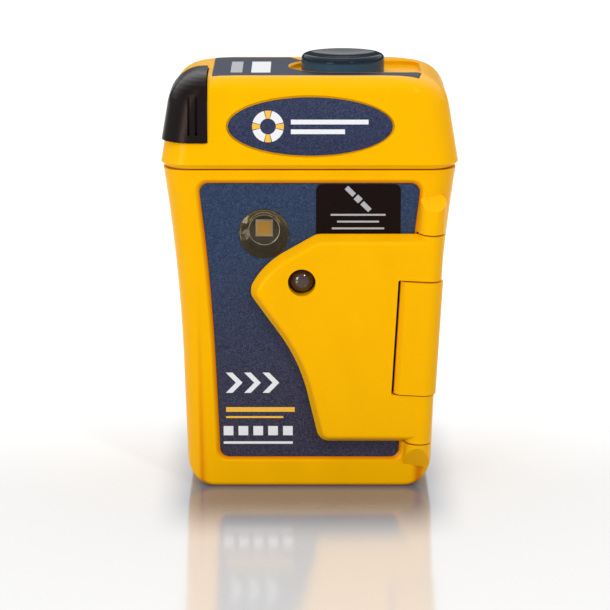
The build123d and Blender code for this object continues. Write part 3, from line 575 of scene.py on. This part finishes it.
# ---- board ----
# A green circuit board with a ceramic patch antenna, tinned screening cans on its back and
# invented rows of small parts on its front. The lowest rows cut into a snap dome's edge.
dress(plain("solder_mask", (0.010, 0.085, 0.030), (0.018, 0.14, 0.05), 0.32, 0.6 * mm), "main_board")
dress(plain("fired_ceramic", (0.52, 0.45, 0.33), (0.64, 0.57, 0.44), 0.6), "satellite_antenna")
tinplate = steel("tinplate", 0.50, 0.66, 0.28)
dress(tinplate, "shield_cans", "cell_tabs")
chip_black = plain("chip_black", (0.014, 0.014, 0.015), (0.028, 0.028, 0.030), 0.5)
part_tan = plain("part_tan", (0.30, 0.20, 0.12), (0.42, 0.30, 0.19), 0.45)
board_front = -6.6
for name, middle, count, pitch, size, material, seed in (
        ("board_chips", (-8.5, 27.5), (2, 3), (5.5, 6.0), (2.6, 3.4, 0.7), chip_black, 4),
        ("board_parts", (-12.3, 43.2), (5, 6), (1.5, 1.5), (0.9, 0.5, 0.4), part_tan, 7),
        ("board_parts_low", (11.8, 23.5), (3, 7), (1.6, 1.9), (0.9, 0.5, 0.4), part_tan, 9)):
    lift = (board_front + size[2] / 2 * 0.98) * mm
    place = front_place @ Matrix.Translation((middle[0] * mm, middle[1] * mm, lift))
    keep(name, block_rows(name, place, count, pitch, size, material, seed, -0.18))


# ---- cells ----
# Two lithium cells in shrink sleeves, welded together by a nickel strip, in a black cradle
# under a strip of foam.
sleeve = plain("shrink_sleeve", (0.025, 0.060, 0.150), (0.045, 0.090, 0.200), 0.26, 3 * mm)
dress(sleeve, "cell_left", "cell_right")
dress(plain("cradle_black", (0.010, 0.010, 0.011), (0.018, 0.018, 0.019), 0.42), "cell_cradle", "reel_base")
dress(plain("closed_foam", (0.035, 0.035, 0.037), (0.075, 0.075, 0.078), 0.8, relief=0.05 * mm), "foam_pad")


# ---- antenna reel, tape and tab ----
# The knob's shaft turns an acetal drum wound with spring steel tape. The tape's free end runs
# out through the head's left wall and is moulded into the black corner tab.
def knob_plastic():
    """Dark blue-grey gloss plastic, with a painted reflection that makes it paler down the wall."""
    finish = Finish("knob_plastic")
    haze = finish.noise(3 * mm, 3)
    height = finish.along((0, 0, 1))
    # Painted reflection: the wall below the knob's top is coloured paler blue-grey.
    painted_wall_reflection = finish.band(height, 73.7 * mm, 74.3 * mm, 1.0, 0.0)
    tone = finish.mix(haze, (0.010, 0.017, 0.026), (0.016, 0.025, 0.038))
    tone = finish.mix(0.85 * painted_wall_reflection, tone, (0.040, 0.082, 0.125))
    return finish.surface(Base_Color=tone, Roughness=0.05 + 0.05 * haze, IOR=1.16)


dress(knob_plastic(), "winder_knob")
dress(plain("acetal", (0.66, 0.66, 0.63), (0.76, 0.76, 0.73), 0.4), "reel_drum")
dress(stainless, "tape_coil", "contact_spring")
tab_black = plain("tab_black", (0.005, 0.004, 0.004), (0.011, 0.010, 0.010), 0.24, IOR=1.32,
                  Specular_Tint=(0.50, 0.30, 0.27, 1))
dress(tab_black, "antenna_tab")


def steel_tape(name, low, high, bow, material, steps=60, across=6):
    """A strip along X with a slight cross bow; low and high are its box's corners."""
    half = (high[1] - low[1]) / 2 - bow / 2
    middle = (low[1] + high[1]) / 2
    work = bmesh.new()
    rows = []
    for k in range(steps + 1):
        x = low[0] + (high[0] - low[0]) * k / steps
        row = []
        for side in (-1, 1):
            for j in range(across + 1):
                t = side * (2 * j / across - 1)
                z = (low[2] + high[2]) / 2 + t * (high[2] - low[2]) / 2
                row.append(work.verts.new((x, middle + side * half + bow * (0.5 - t * t), z)))
        rows.append(row)
    ring = len(rows[0])
    for k in range(steps):
        for j in range(ring):
            work.faces.new((rows[k][j], rows[k + 1][j], rows[k + 1][(j + 1) % ring], rows[k][(j + 1) % ring]))
    work.faces.new(rows[0])
    work.faces.new(list(reversed(rows[-1])))
    bmesh.ops.recalc_face_normals(work, faces=work.faces)
    mesh = bpy.data.meshes.new(name)
    work.to_mesh(mesh)
    work.free()
    mesh.materials.append(material)
    piece = bpy.data.objects.new(name, mesh)
    bpy.context.collection.objects.link(piece)
    return piece


tape_low, tape_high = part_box("antenna_tape")
tape_strip = steel_tape("tape_strip", tape_low, tape_high, 0.1 * mm, stainless)
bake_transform(tape_strip)
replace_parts(tape_strip, "antenna_tape")


# ---- table and lights ----
# A pale glossy table that glows white towards the back and carries a painted shadow that darkens it round the
# foot, in a studio whose backdrop is dark low down and bright above. A broad key stands low in front
# on the left, a soft lamp hangs overhead and a small one shines from the front right.
bpy.ops.mesh.primitive_plane_add(size=8)
floor = bpy.context.object
floor.name = "floor"
table = Finish("pale_table")
glow = table.band(table.along((0, 1, 0)), -0.02, 0.14, 0.0, 0.75)
aside = abs(table.along((1, 0, 0)))
ahead = abs(table.along((0, 1, 0)))
# Painted contact shadow: the table's colour and its glow are darkened in a patch round the object's foot.
painted_shadow = table.band(aside, 0.017, 0.028, 1.0, 0.0) * table.band(ahead, 0.018, 0.045, 1.0, 0.0)
table_with_painted_shadow = table.mix(painted_shadow, (0.55, 0.55, 0.55), (0.08, 0.10, 0.13))
lift = table.mix(painted_shadow, (0.14, 0.14, 0.14), (0.02, 0.03, 0.05))
floor.data.materials.append(table.surface(Base_Color=table_with_painted_shadow, Roughness=0.12, IOR=2.4,
                                          Emission_Color=table.mix(glow, lift, (1, 1, 1)),
                                          Emission_Strength=1.0))

world = bpy.data.worlds.new("studio")
bpy.context.scene.world = world
world.use_nodes = True
sky = world.node_tree
where = sky.nodes.new("ShaderNodeTexCoord")
split = sky.nodes.new("ShaderNodeSeparateXYZ")
sky.links.new(where.outputs["Generated"], split.inputs[0])


def sky_band(source, low, high, to_low, to_high):
    """A smooth step of the sky's brightness along one axis of the direction."""
    made = sky.nodes.new("ShaderNodeMapRange")
    made.interpolation_type = "SMOOTHSTEP"
    sky.links.new(source, made.inputs["Value"])
    for socket, value in zip(("From Min", "From Max", "To Min", "To Max"), (low, high, to_low, to_high)):
        if isinstance(value, float):
            made.inputs[socket].default_value = value
        else:
            sky.links.new(value, made.inputs[socket])
    return made.outputs[0]


backdrop = sky_band(split.outputs["Z"], 0.19, 0.27, 0.05, 1.20)
whole = sky_band(split.outputs["Y"], -0.2, 0.4, 0.60, backdrop)
sky.links.new(whole, sky.nodes["Background"].inputs["Strength"])
sky.nodes["Background"].inputs["Color"].default_value = (1, 1, 1, 1)


def soft_light(name, place, aim, size, power):
    """A square soft light that points at a spot."""
    lamp = bpy.data.objects.new(name, bpy.data.lights.new(name, "AREA"))
    lamp.data.shape = "SQUARE"
    lamp.data.size = size
    lamp.data.energy = power
    lamp.location = place
    lamp.rotation_euler = (Vector(aim) - Vector(place)).to_track_quat("-Z", "Y").to_euler()
    bpy.context.collection.objects.link(lamp)


soft_light("key", (-0.40, -0.54, 0.17), (0, 0, 0.035), 0.22, 1.50)
soft_light("overhead", (-0.05, -0.12, 0.50), (0, 0, 0.06), 0.30, 0.45)
soft_light("glint", (0.22, -0.42, 0.42), (0.015, 0, 0.065), 0.05, 0.8)
